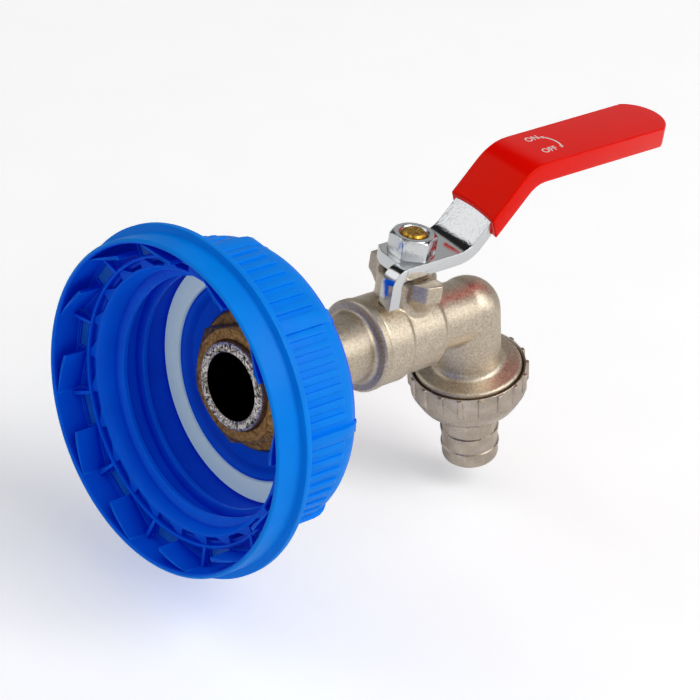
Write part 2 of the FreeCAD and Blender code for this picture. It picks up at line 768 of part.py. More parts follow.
def make_tail():
    """The hose tail: clamped flange, neck and two barbs, bored through."""
    flange_start = outlet_thread_end + hose_washer_thickness
    flange_end = flange_start + tail_flange_thickness
    return on_outlet(turned(outline(
        (flange_start, tail_bore_r), (flange_start, tail_flange_r - edge_break),
        (flange_start + edge_break, tail_flange_r), (flange_end - edge_break, tail_flange_r),
        (flange_end, tail_flange_r - edge_break), (flange_end, tail_neck_r),
        (barb_first - barb_step, tail_neck_r), (barb_first, barb_r), (barb_first + barb_land, barb_r),
        (barb_second - barb_step, barb_root_r), (barb_second, barb_r), (barb_second + barb_land, barb_r),
        ((tail_end - tail_tip_length, tail_tip_r + tail_tip_bulge), (tail_end, tail_tip_r)),
        (tail_end, tail_bore_r + tail_bore_edge), (tail_end - tail_bore_edge, tail_bore_r))))


def make_union_nut():
    """The ribbed union nut: thread at its rim, cup-shaped end that pulls on the tail's flange."""
    shoulder = outlet_thread_end + hose_washer_thickness + tail_flange_thickness + face_gap
    thread_end = outlet_thread_end + nut_thread_overrun
    bore_r = outlet_thread_r + thread_gap
    neck_hole_r = tail_neck_r + nut_relief
    body = turned(outline(
        (nut_rim, bore_r + edge_break), (nut_rim, nut_outer_r), (nut_dome_start, nut_outer_r),
        (nut_dome_middle, (nut_bottom, nut_bottom_r)), (nut_bottom, neck_hole_r), (shoulder, neck_hole_r),
        (shoulder, nut_cavity_r - nut_relief), (shoulder - nut_relief, nut_cavity_r),
        (thread_end + soft_edge, nut_cavity_r), (thread_end, bore_r), (nut_rim + edge_break, bore_r)))
    root_r = nut_outer_r - soft_edge
    half = nut_rib_width / 2
    corners = [(root_r, -half), (nut_rib_r, edge_break - half), (nut_rib_r, half - edge_break), (root_r, half)]
    rib = prism_x(corners, nut_rim + edge_break, nut_rib_end)
    side = outline((nut_rim, root_r), (nut_rim, nut_rib_r), (nut_rib_end - nut_rib_slope, nut_rib_r),
                   (nut_rib_end, root_r)).extrude(V(0, 0, nut_rib_width))
    side.translate(V(0, 0, -half))
    rib = rib.common(side)
    return on_outlet(body.multiFuse(spun(rib, nut_ribs, nut_rib_first_angle)).removeSplitter())


def make_parts():
    """Every piece by its node's name."""
    shoulder_front = cap_rear + washer_thickness
    groove_middle = seam + oring_from_seam + (oring_section + groove_play) / 2
    thrust_top = stem_shoulder_top + thrust_thickness
    packing_top = packing_bottom + packing_height
    washer_end = outlet_thread_end + hose_washer_thickness
    stem_groove_middle = stem_groove_bottom + stem_groove_height / 2
    return {
        "coupling_cap": make_cap(),
        "tamper_band": make_band(),
        "cap_seal": make_cap_seal(),
        "lock_nut": make_lock_nut(),
        "outer_washer": ring(cap_rear, shoulder_front, nipple_r + loose_gap, washer_r),
        "inlet_connector": make_connector(),
        "body_oring": make_torus(groove_middle, spigot_r - oring_section, oring_section),
        "valve_body": make_body(),
        "inlet_seat": make_seat(-1),
        "outlet_seat": make_seat(1),
        "ball": make_ball(),
        "stem": make_stem(),
        "stem_thrust_washer": on_stem(ring(stem_shoulder_top, thrust_top, stem_r + slip_gap, stem_shoulder_r)),
        "stem_oring": on_stem(make_torus(stem_groove_middle, stem_r - stem_oring_section + ring_gap,
                                         stem_oring_section)),
        "stem_packing": on_stem(ring(packing_bottom, packing_top, stem_r + slip_gap, packing_r)),
        "gland_nut": make_gland_nut(),
        "lever": make_lever(),
        "lever_sleeve": make_sleeve(),
        "lever_nut": make_lever_nut(),
        "hose_washer": on_outlet(ring(outlet_thread_end, washer_end, hose_washer_bore_r, tail_flange_r)),
        "hose_tail": make_tail(),
        "union_nut": make_union_nut(),
    }


os.makedirs("parts", exist_ok=True)
for name, shape in make_parts().items():
    shape.translate(V(-neck_thread_middle, 0, 0))
    shape.exportStep("parts/" + name + ".step")
    print(name, "valid", shape.isValid(), "solids", len(shape.Solids), "volume", round(shape.Volume, 1))
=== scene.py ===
"""Canister tap: the looks of a blue screw cap with a nickel-plated ball tap, a red lever and a hose tail.

Pieces are modelled in millimetres with x = 0 at the face that seals on the container's neck, as the solids
are, and finish_piece turns them to metres and puts them at their place in the frame.
"""
import math

import bmesh
import bpy
from mathutils import Matrix, Vector


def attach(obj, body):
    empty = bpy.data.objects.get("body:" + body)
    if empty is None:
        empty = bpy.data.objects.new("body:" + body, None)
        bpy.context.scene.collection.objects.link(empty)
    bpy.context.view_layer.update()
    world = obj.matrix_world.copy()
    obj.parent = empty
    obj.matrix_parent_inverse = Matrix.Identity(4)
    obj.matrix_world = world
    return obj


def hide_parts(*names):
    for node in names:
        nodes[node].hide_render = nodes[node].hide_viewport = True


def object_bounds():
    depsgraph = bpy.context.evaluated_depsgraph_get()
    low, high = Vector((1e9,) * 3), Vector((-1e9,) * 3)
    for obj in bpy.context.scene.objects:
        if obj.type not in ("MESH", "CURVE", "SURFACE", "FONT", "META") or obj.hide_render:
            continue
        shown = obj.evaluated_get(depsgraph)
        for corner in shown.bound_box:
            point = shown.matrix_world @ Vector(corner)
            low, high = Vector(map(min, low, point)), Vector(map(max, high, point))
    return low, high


# The frame's origin is the middle of the neck thread, this far in front of the sealing face (mm)
SEAL_TO_ORIGIN = 9.5

# A millimetre in metres
MM = 0.001

# Faces round a turned piece
STEPS = 128

# Cap
CAP_FRONT = -18.6
SKIRT_R = 31.6
NECK_ROOT_R = 29.9
GRIP_FRONT = -17.72
GRIP_R = 34.0
RIB_HEIGHT = 0.55
RIB_WIDTH = 1.7
LUG_HEIGHT = 1.4
LUG_WIDTH = 3.2
GRIP_END = -1.1
CAP_REAR = 4.6
CAP_REAR_R = 30.5
CAP_FLOOR = 2.1
CAP_LIP_R = 31.0
CAP_LIP_DEPTH = 2.4
CORE_END = -5.3
CORE_R = 32.4
HOLE_R = 10.8
RIDGE_R = 23.65
SEAL_FACE = 2.5
RIB_STEP = 360 / 64
LUG_FIRST = 124.0
LUGS = 8
RIBS_PER_LUG = 7

# The cap's rear shoulder and the hollow inside its seal ridge, as (x, radius)
SHOULDER = ((0.6, 33.9), (1.9, 33.35), (3.0, 32.55), (3.9, 31.6))
HOLLOW = ((CAP_FLOOR, 20.9), (1.2, 21.5), (0.4, 22.15), (0.0, 22.8), (0.05, 23.4), (0.5, RIDGE_R))

# How a rib and a lug run out down the shoulder, as (x, drop)
RIB_TAIL = ((-1.9, 0.0), (-0.9, RIB_HEIGHT + 0.1))
LUG_TAIL = ((-2.0, 0.0), (0.0, 0.3), (1.6, 1.0), (2.8, 2.0), (3.6, 3.1))

# Neck thread
THREAD_PITCH = 6.0
THREAD_CREST_R = 27.6
THREAD_AT_ZERO = -12.7
THREAD_START = -150.0
THREAD_SWEEP = 630.0
THREAD_FADE = 40.0
THREAD_STEP = 4.0

# Tamper band
BAND_FRONT = -25.9
BAND_R = 39.2
BAND_INNER_R = 38.0
BAND_STEP = -19.2
LEDGE = -18.7
FLANGE_R = 41.1
FLANGE_REAR = -17.7
LEDGE_REAR = -18.0
RING_R = 33.3
RING_OUTER_R = 34.1
RING_FRONT = -19.3
PAWLS = 12
PAWL_FIRST = -7.0
PAWL_SWEEP = 16.0
PAWL_TIP_R = 34.6
PAWL_FRONT = -25.2
PAWL_BOW = 0.35
POCKET_FLOOR = 0.4
POCKET_R = 37.4
WEDGE_ANGLES = (2.0, 15.4)
WINDOW_ANGLES = (17.8, 29.4)
THIN_ANGLES = (18.2, 29.0)
WEB_ANGLE = -16.6
WEB_HALF = 0.7

# Where the blue plastic is painted a brighter tone, standing in for light on its outer faces, as pairs of (from x,
# from radius) in the frame (m)
PAINTED_LIGHT_ZONES = ((-0.0081, 0.0332), (-0.0170, 0.0385))

# How far the walls round a hollow reach when shade is painted into the blue plastic, and how wide its painted edge
# highlights are (mm)
PAINTED_SHADE_REACH = 14.0
EDGE_HIGHLIGHT_WIDTH = 0.35

# Where the nipple's sawn end stops and how far it fades, and between which radii its bore is painted dark as shade, in
# the frame (m)
SAWN_END_X = 0.0044
SAWN_FADE = 0.0006
BORE_SHADE = (0.0081, 0.0082)

# Between which heights the lever's chrome turns pebbled, in the frame (m)
PEBBLED_FROM = (0.0218, 0.0235)

# Between which values a noise mostly lies
NOISE_LOW = 0.3
NOISE_HIGH = 0.7

# The colour sockets of a Mix node: two inputs and the output
MIX_A = 6
MIX_B = 7
MIX_OUT = 2

# Tap
STEM_X = 47.35
LEVER_HALF = 6.3
PLATE_TOP = 21.6
PLATE_THICK = 3.2
BEND_FIRST = 13.1
BEND_SECOND = 29.9
GRIP_TOP = 39.1
LEVER_HEEL = -7.0
LEVER_REACH = 78.4
BAR_END = LEVER_REACH - 4
BEND_R = 6.5
SECOND_R = 11.0
SLEEVE_WALL = 1.25
SLEEVE_UNDER = 0.85
SLEEVE_START = 8.0
SLEEVE_BARE = 9.2
SLEEVE_LEAN = 0.42
MOUTH_CURVE = 0.7
MOUTH_SKEW = 0.06
NUT_ACROSS = 10.0
NUT_HEIGHT = 5.2
OUTLET_X = 70.45
OUTLET_TILT = 14.0
UNION_RIBS = 18
UNION_RIB_FIRST = 11.2
CASTING_CORNER = 0.35

# Plan of the cut at the lever's heel, as (x from the stem, y)
HEEL_CUT = ((-9, -2.5), (-7.0, -2.5), (-6.2, 3.6), (-4.6, 6.3), (-4.6, 8), (-9, 8))

# Print on the grip: places of the words, letter size and weight, and the arrow's centre, radius and width
PRINT_ON = (84.8, 2.7)
PRINT_OFF = (84.5, -3.4)
PRINT_SIZE = 2.7
PRINT_WEIGHT = 0.02
PRINT_THICK = 0.03
PRINT_ARC = ((87.2, -0.4), 4.3, 0.42)
PRINT_ARC_ANGLES = (-30.0, 50.0)

# How far the floor lies below the tap, which leaves room for the hose tail when its nut is unscrewed (m)
FLOOR_GAP = 0.0068

# Camera, from the photograph (metres)
CAMERA_RIGHT = (0.7287, -0.6702, 0.1408)
CAMERA_UP = (0.2421, 0.4444, 0.8625)
CAMERA_BACK = (-0.6406, -0.5944, 0.4861)
CAMERA_PLACE = (-0.4810, -0.4850, 0.3959)
CAMERA_LENS = 180.0

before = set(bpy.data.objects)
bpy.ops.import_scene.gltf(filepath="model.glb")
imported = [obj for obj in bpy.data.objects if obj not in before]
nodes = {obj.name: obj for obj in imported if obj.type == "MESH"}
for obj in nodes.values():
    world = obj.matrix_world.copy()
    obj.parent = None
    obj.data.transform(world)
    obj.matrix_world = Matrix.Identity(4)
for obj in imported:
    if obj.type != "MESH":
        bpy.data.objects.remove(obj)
cad_box = [list(corner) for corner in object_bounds()]


# Modelling helpers

def leave_edit():
    """Back to object mode with nothing selected."""
    if bpy.context.object and bpy.context.object.mode != "OBJECT":
        bpy.ops.object.mode_set(mode="OBJECT")
    bpy.ops.object.select_all(action="DESELECT")


def only(piece):
    """Selects one piece alone and makes it active."""
    leave_edit()
    piece.select_set(True)
    bpy.context.view_layer.objects.active = piece


def draw_outline(name, corners):
    """A closed outline drawn as by hand: one vertex, extruded from corner to corner."""
    leave_edit()
    bpy.ops.mesh.primitive_plane_add(size=1.0, location=(0, 0, 0))
    piece = bpy.context.object
    piece.name = name
    points = [Vector(c) for c in corners]
    bpy.ops.object.mode_set(mode="EDIT")
    bpy.ops.mesh.merge(type="CENTER")
    bpy.ops.transform.translate(value=points[0])
    for here, there in zip(points, points[1:]):
        bpy.ops.mesh.extrude_region_move(TRANSFORM_OT_translate={"value": there - here})
    bpy.ops.mesh.select_all(action="SELECT")
    mesh = bmesh.from_edit_mesh(piece.data)
    ends = [v for v in mesh.verts if len(v.link_edges) == 1]
    for vertex in mesh.verts:
        vertex.select = vertex in ends
    mesh.select_flush_mode()
    bmesh.update_edit_mesh(piece.data)
    bpy.ops.mesh.edge_face_add()
    bpy.ops.mesh.select_all(action="SELECT")
    return piece


def close_up():
    """Merges the doubles of a turned or mirrored shape and turns its faces outwards."""
    bpy.ops.mesh.select_all(action="SELECT")
    bpy.ops.mesh.remove_doubles(threshold=0.005)
    bpy.ops.mesh.normals_make_consistent(inside=False)


def lathe(name, outline, steps=STEPS):
    """An outline of (x, radius) corners turned about the X axis."""
    piece = draw_outline(name, [(x, r, 0) for x, r in outline])
    bpy.ops.mesh.spin(steps=steps, angle=2 * math.pi, center=(0, 0, 0), axis=(1, 0, 0))
    close_up()
    leave_edit()
    return piece


def slab(name, corners, depth):
    """A flat outline given in space, filled and drawn out by a vector."""
    piece = draw_outline(name, corners)
    bpy.ops.mesh.edge_face_add()
    bpy.ops.mesh.extrude_region_move(TRANSFORM_OT_translate={"value": depth})
    close_up()
    leave_edit()
    return piece


def apply_modifier(piece, kind, **settings):
    """Adds a modifier with its settings and applies it."""
    only(piece)
    modifier = piece.modifiers.new(kind.title(), kind)
    for key, value in settings.items():
        setattr(modifier, key, value)
    bpy.ops.object.modifier_apply(modifier=modifier.name)
    return piece


def soften(piece, width, segments=2, angle=30):
    """Rounds the edges that are sharper than an angle."""
    apply_modifier(piece, "BEVEL", width=width, segments=segments, limit_method="ANGLE",
                   angle_limit=math.radians(angle), miter_outer="MITER_ARC")
    return piece


def join(pieces, name):
    """Makes one piece of several."""
    leave_edit()
    for piece in pieces:
        piece.select_set(True)
    bpy.context.view_layer.objects.active = pieces[0]
    bpy.ops.object.join()
    pieces[0].name = name
    return pieces[0]


def copy_round(piece, angles, name):
    """Copies of a piece at angles about the X axis, each with its own mesh, joined to one piece."""
    copies = []
    for angle in angles:
        copy = piece.copy()
        copy.data = piece.data.copy()
        bpy.context.scene.collection.objects.link(copy)
        copy.data.transform(Matrix.Rotation(math.radians(angle), 4, "X"))
        copies.append(copy)
    bpy.data.objects.remove(piece)
    return join(copies, name)


def polar(x, radius, degrees):
    """A point at a place along X, a radius and an angle from +Y towards +Z."""
    angle = math.radians(degrees)
    return Vector((x, radius * math.cos(angle), radius * math.sin(angle)))


def arc(centre, radius, first, last, count):
    """Points on an arc about a centre in (x, r), in degrees from +x towards +r."""
    points = []
    for i in range(count + 1):
        angle = math.radians(first + (last - first) * i / count)
        points.append((centre[0] + radius * math.cos(angle), centre[1] + radius * math.sin(angle)))
    return points


def to_stem(piece):
    """Stands a piece made about X on the stem's axis."""
    piece.data.transform(Matrix.Translation((STEM_X, 0, 0)) @ Matrix.Rotation(math.radians(-90), 4, "Y"))
    return piece


def to_outlet(piece):
    """Puts a piece made about X on the outlet's axis, with x as the way down it."""
    turn = Matrix.Rotation(math.radians(90 - OUTLET_TILT), 4, "Y")
    piece.data.transform(Matrix.Translation((OUTLET_X, 0, 0)) @ turn)
    return piece


def finish_piece(piece, body, finish, replaces=(), smooth=35):
    """Turns a piece to metres at its place, gives it its finish and lets it ride on its body."""
    only(piece)
    piece.data.transform(Matrix.Scale(MM, 4) @ Matrix.Translation((SEAL_TO_ORIGIN, 0, 0)))
    bpy.ops.object.shade_smooth_by_angle(angle=math.radians(smooth))
    piece.data.materials.clear()
    piece.data.materials.append(finish)
    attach(piece, body)
    if replaces:
        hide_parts(*replaces)
    return piece


# Finishes

def linear(code):
    """An sRGB hex colour as linear red, green, blue and alpha."""
    channels = [int(code[i:i + 2], 16) / 255 for i in (1, 3, 5)]
    return [c / 12.92 if c <= 0.04045 else ((c + 0.055) / 1.055) ** 2.4 for c in channels] + [1.0]


def add(tree, kind, sockets=(), links=(), stops=(), **settings):
    """One node with its settings, socket values, links from outputs, and (position, hex colour) stops of a ramp."""
    node = tree.nodes.new(kind)
    for key, value in settings.items():
        setattr(node, key, value)
    for key, value in dict(sockets).items():
        node.inputs[key].default_value = value
    for key, source in dict(links).items():
        tree.links.new(source, node.inputs[key])
    if stops:
        elements = node.color_ramp.elements
        while len(elements) < len(stops):
            elements.new(0.5)
        for element, (position, code) in zip(elements, stops):
            element.position = position
            element.color = linear(code)
    return node


def new_finish(name):
    """A new material, as (material, node tree, shader, object coordinates)."""
    material = bpy.data.materials.new(name)
    material.use_nodes = True
    tree = material.node_tree
    return material, tree, tree.nodes["Principled BSDF"], add(tree, "ShaderNodeTexCoord").outputs["Object"]


def noise(size_mm, detail=3.0, roughness=0.55, distortion=0.0):
    """Socket values of a noise whose patches are about a size in millimetres."""
    return {"Scale": 1 / (size_mm * MM), "Detail": detail, "Roughness": roughness, "Distortion": distortion}


def patches(tree, place, pattern, stops):
    """Colour in the patches of a noise, with (position, hex colour) stops."""
    value = add(tree, "ShaderNodeTexNoise", pattern, {"Vector": place}).outputs["Fac"]
    return add(tree, "ShaderNodeValToRGB", links={"Fac": value}, stops=stops).outputs["Color"]


def gloss(tree, shader, place, size_mm, low, high):
    """Roughness that wanders between two values, in patches of a size in millimetres."""
    value = add(tree, "ShaderNodeTexNoise", noise(size_mm), {"Vector": place}).outputs["Fac"]
    rough = add(tree, "ShaderNodeMapRange",
                {"From Min": NOISE_LOW, "From Max": NOISE_HIGH, "To Min": low, "To Max": high}, {"Value": value})
    tree.links.new(rough.outputs["Result"], shader.inputs["Roughness"])


def relief(tree, shader, place, pattern, depth_mm, strength, before=None, round_mm=0.0, share=None):
    """A noise as a bump of a depth in millimetres, lower by a share, over edges that are drawn rounded."""
    height = add(tree, "ShaderNodeTexNoise", pattern, {"Vector": place}).outputs["Fac"]
    if share:
        height = add(tree, "ShaderNodeMath", links={0: height, 1: share}, operation="MULTIPLY").outputs["Value"]
    bump = add(tree, "ShaderNodeBump", {"Strength": strength, "Distance": depth_mm * MM}, {"Height": height})
    if round_mm:
        edge = add(tree, "ShaderNodeBevel", {"Radius": round_mm * MM}, samples=4)
        tree.links.new(edge.outputs["Normal"], bump.inputs["Normal"])
    if before:
        tree.links.new(before, bump.inputs["Normal"])
    tree.links.new(bump.outputs["Normal"], shader.inputs["Normal"])
    return bump.outputs["Normal"]


def axis_place(tree, place):
    """Where a point lies along the X axis and how far from it, as two outputs."""
    spot = add(tree, "ShaderNodeSeparateXYZ", links={"Vector": place}).outputs
    across = add(tree, "ShaderNodeCombineXYZ", links={"Y": spot["Y"], "Z": spot["Z"]}).outputs["Vector"]
    radius = add(tree, "ShaderNodeVectorMath", links={0: across}, operation="LENGTH")
    return spot["X"], radius.outputs["Value"]


def blue_polyethylene():
    """Injection-moulded polyethylene: waxy, painted a brighter tone on its outer faces as if lit, painted a deeper
    blue as shade inside the cap, and given a faint painted glow.

    Thin edges are painted paler as highlights. The mould's texture is too fine to show, so it is drawn at 0.8 mm.
    """
    material, tree, shader, place = new_finish("blue moulded polyethylene")
    flow = noise(9.0, 2.0)
    # Painted shade: a deeper blue is mixed in where ambient occlusion finds near walls, in the cap's hollows
    deep = patches(tree, place, flow, [(0.3, "#0026BC"), (0.7, "#002CC8")])
    inner = patches(tree, place, flow, [(0.3, "#005EE6"), (0.7, "#0066EE")])
    bright = patches(tree, place, flow, [(0.3, "#007CE4"), (0.7, "#0082EA")])
    opening = add(tree, "ShaderNodeAmbientOcclusion", {"Distance": PAINTED_SHADE_REACH * MM}, samples=8).outputs["AO"]
    share = add(tree, "ShaderNodeMapRange", {"From Min": 0.4, "From Max": 1.0}, {"Value": opening}).outputs["Result"]
    inside = add(tree, "ShaderNodeMix", links={"Factor": share, MIX_A: deep, MIX_B: inner}, data_type="RGBA")
    # Painted light: past these places along the axis and out from it, the blue turns to its brighter, lit tone
    along, radius = axis_place(tree, place)
    zones = []
    for from_x, from_r in PAINTED_LIGHT_ZONES:
        past = add(tree, "ShaderNodeMath", {1: from_x}, {0: along}, operation="GREATER_THAN").outputs["Value"]
        wide = add(tree, "ShaderNodeMath", {1: from_r}, {0: radius}, operation="GREATER_THAN").outputs["Value"]
        zone = add(tree, "ShaderNodeMath", links={0: past, 1: wide}, operation="MULTIPLY")
        zones.append(zone.outputs["Value"])
    painted_lit_share = add(tree, "ShaderNodeMath", links={0: zones[0], 1: zones[1]}, operation="MAXIMUM").outputs["Value"]
    tone = add(tree, "ShaderNodeMix", links={"Factor": painted_lit_share, MIX_A: inside.outputs[MIX_OUT], MIX_B: bright},
               data_type="RGBA").outputs[MIX_OUT]
    # Painted highlight: where the rounded-edge normal turns away from the face normal, the colour is lifted towards a
    # pale blue
    rounded = add(tree, "ShaderNodeBevel", {"Radius": EDGE_HIGHLIGHT_WIDTH * MM}, samples=4).outputs["Normal"]
    face = add(tree, "ShaderNodeNewGeometry").outputs["Normal"]
    level = add(tree, "ShaderNodeVectorMath", links={0: rounded, 1: face}, operation="DOT_PRODUCT").outputs["Value"]
    edge = add(tree, "ShaderNodeMapRange", {"From Min": 0.97, "From Max": 0.80, "To Max": 0.45}, {"Value": level})
    lit = add(tree, "ShaderNodeMix", {MIX_B: linear("#1C98FF")}, {"Factor": edge.outputs["Result"], MIX_A: tone},
              data_type="RGBA").outputs[MIX_OUT]
    tree.links.new(lit, shader.inputs["Base Color"])
    gloss(tree, shader, place, 1.5, 0.34, 0.46)
    shader.inputs["Specular IOR Level"].default_value = 0.10
    shader.inputs["IOR"].default_value = 1.45
    # Painted glow: the plastic gives off a little light in its own colour, standing in for light that comes through it
    tree.links.new(lit, shader.inputs["Emission Color"])
    shader.inputs["Emission Strength"].default_value = 0.12
    relief(tree, shader, place, noise(0.8, 4.0), 0.02, 0.35, round_mm=0.15)
    return material


def thin_polyethylene():
    """The same plastic where it is as thin as card: painted paler and greener and given a painted glow, standing in
    for light that comes through it.
    """
    material, tree, shader, place = new_finish("thin blue polyethylene")
    tone = patches(tree, place, noise(3.0, 2.0), [(0.3, "#0E5CB8"), (0.7, "#146AC4")])
    tree.links.new(tone, shader.inputs["Base Color"])
    shader.inputs["Roughness"].default_value = 0.45
    # Painted glow, standing in for light from behind the thin skin
    shader.inputs["Emission Color"].default_value = linear("#0A50B0")
    shader.inputs["Emission Strength"].default_value = 0.16
    return material


def red_vinyl():
    """Dipped vinyl: a thick glossy skin with a slightly uneven surface from the dip."""
    material, tree, shader, place = new_finish("red dipped vinyl")
    tone = patches(tree, place, noise(14.0, 1.0), [(0.3, "#D80400"), (0.7, "#DE0700")])
    tree.links.new(tone, shader.inputs["Base Color"])
    shader.inputs["Roughness"].default_value = 0.22
    shader.inputs["IOR"].default_value = 1.53
    shader.inputs["Specular IOR Level"].default_value = 0.32
    shader.inputs["Specular Tint"].default_value = linear("#FF8450")
    # Painted glow: the vinyl gives off a little red light of its own, which brightens it all over
    shader.inputs["Emission Color"].default_value = linear("#FF0C00")
    shader.inputs["Emission Strength"].default_value = 0.13
    fine = relief(tree, shader, place, noise(0.6, 2.0), 0.01, 0.2)
    relief(tree, shader, place, noise(7.0, 1.0), 0.25, 0.25, before=fine)
    return material


def cast_nickel():
    """Sand-cast brass, blasted and nickel-plated: warm satin metal with a fine sandy skin.

    The sand's grain is too fine to show, so it is drawn at about half a millimetre.
    """
    material, tree, shader, place = new_finish("cast nickel-plated brass")
    tone = patches(tree, place, noise(0.5, 4.0, 0.8), [(0.32, "#AE9D83"), (0.5, "#D2C4AF"), (0.66, "#E6DCCC")])
    tree.links.new(tone, shader.inputs["Base Color"])
    shader.inputs["Metallic"].default_value = 1.0
    gloss(tree, shader, place, 0.5, 0.32, 0.46)
    sand = relief(tree, shader, place, noise(0.34, 3.0, 0.7), 0.07, 0.8, round_mm=0.3)
    relief(tree, shader, place, noise(2.4, 2.0), 0.14, 0.35, before=sand)
    return material


def connector_nickel():
    """Cast and turned nickel-plated brass; its end is sawn rough and given a painted glow, and the bore is painted
    near black as shade.
    """
    material, tree, shader, place = new_finish("nickel-plated brass connector")
    along, radius = axis_place(tree, place)
    tone = patches(tree, place, noise(0.5, 4.0, 0.8), [(0.32, "#AE9D83"), (0.5, "#CDBFAA"), (0.66, "#E0D6C6")])
    marks = noise(2.2, 6.0, 0.75, 3.0)
    sawn = patches(tree, place, marks, [(0.42, "#1C1914"), (0.48, "#8E8476"), (0.55, "#E8E2D6")])
    at_end = add(tree, "ShaderNodeMapRange", {"From Min": SAWN_END_X, "From Max": SAWN_END_X + SAWN_FADE,
                                              "To Min": 1.0, "To Max": 0.0}, {"Value": along}).outputs["Result"]
    skin = add(tree, "ShaderNodeMix", links={"Factor": at_end, MIX_A: tone, MIX_B: sawn}, data_type="RGBA")
    # Painted shade: inside the bore the colour falls to almost black
    dark_r, light_r = BORE_SHADE
    metal = add(tree, "ShaderNodeMapRange", {"From Min": dark_r, "From Max": light_r, "To Min": 0.004, "To Max": 1.0},
                {"Value": radius}).outputs["Result"]
    shaded = add(tree, "ShaderNodeVectorMath", links={0: skin.outputs[MIX_OUT], "Scale": metal}, operation="SCALE")
    tree.links.new(shaded.outputs["Vector"], shader.inputs["Base Color"])
    shader.inputs["Metallic"].default_value = 1.0
    gloss(tree, shader, place, 0.5, 0.32, 0.46)
    # Painted light: the sawn end glows in its own colour, but not in the bore
    glow = add(tree, "ShaderNodeMath", {1: 0.20}, {0: at_end}, operation="MULTIPLY").outputs["Value"]
    lit = add(tree, "ShaderNodeMath", links={0: glow, 1: metal}, operation="MULTIPLY").outputs["Value"]
    tree.links.new(sawn, shader.inputs["Emission Color"])
    tree.links.new(lit, shader.inputs["Emission Strength"])
    sand = relief(tree, shader, place, noise(0.34, 3.0, 0.7), 0.07, 0.8, round_mm=0.3)
    relief(tree, shader, place, marks, 0.10, 0.5, before=sand)
    return material


def satin_nickel():
    """Turned brass with satin nickel plating: a soft even sheen over a very fine grain."""
    material, tree, shader, place = new_finish("satin nickel-plated brass")
    tone = patches(tree, place, noise(4.0, 4.0), [(0.3, "#B4A798"), (0.7, "#D4C7B8")])
    tree.links.new(tone, shader.inputs["Base Color"])
    shader.inputs["Metallic"].default_value = 1.0
    gloss(tree, shader, place, 0.6, 0.24, 0.36)
    relief(tree, shader, place, noise(0.35, 3.0, 0.7), 0.02, 0.35, round_mm=0.2)
    return material


def bright_chrome():
    """Chrome plating on pressed steel: a mirror, and pebbled above the plate, where the steel was bent."""
    material, tree, shader, place = new_finish("bright chrome on steel")
    shader.inputs["Base Color"].default_value = linear("#E4E6E8")
    shader.inputs["Metallic"].default_value = 1.0
    gloss(tree, shader, place, 2.5, 0.07, 0.14)
    height = add(tree, "ShaderNodeSeparateXYZ", links={"Vector": place}).outputs["Z"]
    low, high = PEBBLED_FROM
    pebbled = add(tree, "ShaderNodeMapRange", {"From Min": low, "From Max": high, "To Min": 0.12, "To Max": 1.0},
                  {"Value": height}).outputs["Result"]
    fine = relief(tree, shader, place, noise(0.9, 3.0, 0.6), 0.16, 0.9, round_mm=0.3, share=pebbled)
    relief(tree, shader, place, noise(3.0, 1.0), 0.06, 0.3, before=fine)
    return material


def sandy_brass():
    """Raw cast brass: dull yellow-brown with a coarse sandy skin and darker patches."""
    material, tree, shader, place = new_finish("raw cast brass")
    tone = patches(tree, place, noise(0.8, 4.0, 0.7), [(0.30, "#543C20"), (0.5, "#AC8248"), (0.68, "#D2A86C")])
    tree.links.new(tone, shader.inputs["Base Color"])
    shader.inputs["Metallic"].default_value = 0.9
    gloss(tree, shader, place, 0.5, 0.42, 0.62)
    relief(tree, shader, place, noise(0.35, 3.0, 0.7), 0.07, 0.7, round_mm=0.25)
    return material


def turned_brass():
    """Turned and filed brass: bright yellow with small darker nicks."""
    material, tree, shader, place = new_finish("turned brass")
    nicks = noise(0.7, 4.0, 0.7, 0.6)
    tone = patches(tree, place, nicks, [(0.36, "#6E4A0C"), (0.5, "#C9952B"), (0.64, "#F0CC70")])
    tree.links.new(tone, shader.inputs["Base Color"])
    shader.inputs["Metallic"].default_value = 1.0
    gloss(tree, shader, place, 0.4, 0.28, 0.42)
    relief(tree, shader, place, noise(0.9, 3.0), 0.16, 0.9, round_mm=0.1)
    return material


def plain_finish(name, low, high, roughness, grain_mm, metallic=0.0, depth_mm=0.02, round_mm=0.15, glow=0.0):
    """A moulded or ground finish: two near tones in fine patches, a light skin and, where asked for, a painted glow in
    place of light that comes through.
    """
    material, tree, shader, place = new_finish(name)
    tone = patches(tree, place, noise(6 * grain_mm), [(0.35, low), (0.65, high)])
    tree.links.new(tone, shader.inputs["Base Color"])
    shader.inputs["Metallic"].default_value = metallic
    # Painted glow, for the finishes that are given one
    shader.inputs["Emission Color"].default_value = linear("#CCFFF0")
    shader.inputs["Emission Strength"].default_value = glow
    gloss(tree, shader, place, 2 * grain_mm, roughness - 0.05, roughness + 0.05)
    relief(tree, shader, place, noise(grain_mm), depth_mm, 0.4, round_mm=round_mm)
    return material


BLUE = blue_polyethylene()
THIN_BLUE = thin_polyethylene()
RED = red_vinyl()
CAST = cast_nickel()
CONNECTOR = connector_nickel()
SATIN = satin_nickel()
CHROME = bright_chrome()
SANDY = sandy_brass()
BRASS = turned_brass()
# The seal rubber is given a painted glow, a pale light of its own
SEAL = plain_finish("white seal rubber", "#E6E9EC", "#EDF0F2", 0.5, 0.4, glow=0.17)
PTFE = plain_finish("white sintered fluoroplastic", "#E6E5E0", "#F0EFEB", 0.4, 0.3)
ORING = plain_finish("black nitrile rubber", "#121212", "#1C1C1C", 0.45, 0.2)
BALL = plain_finish("polished chrome-plated ball", "#DADCDF", "#E8E9EB", 0.1, 0.5, 1.0, 0.004)
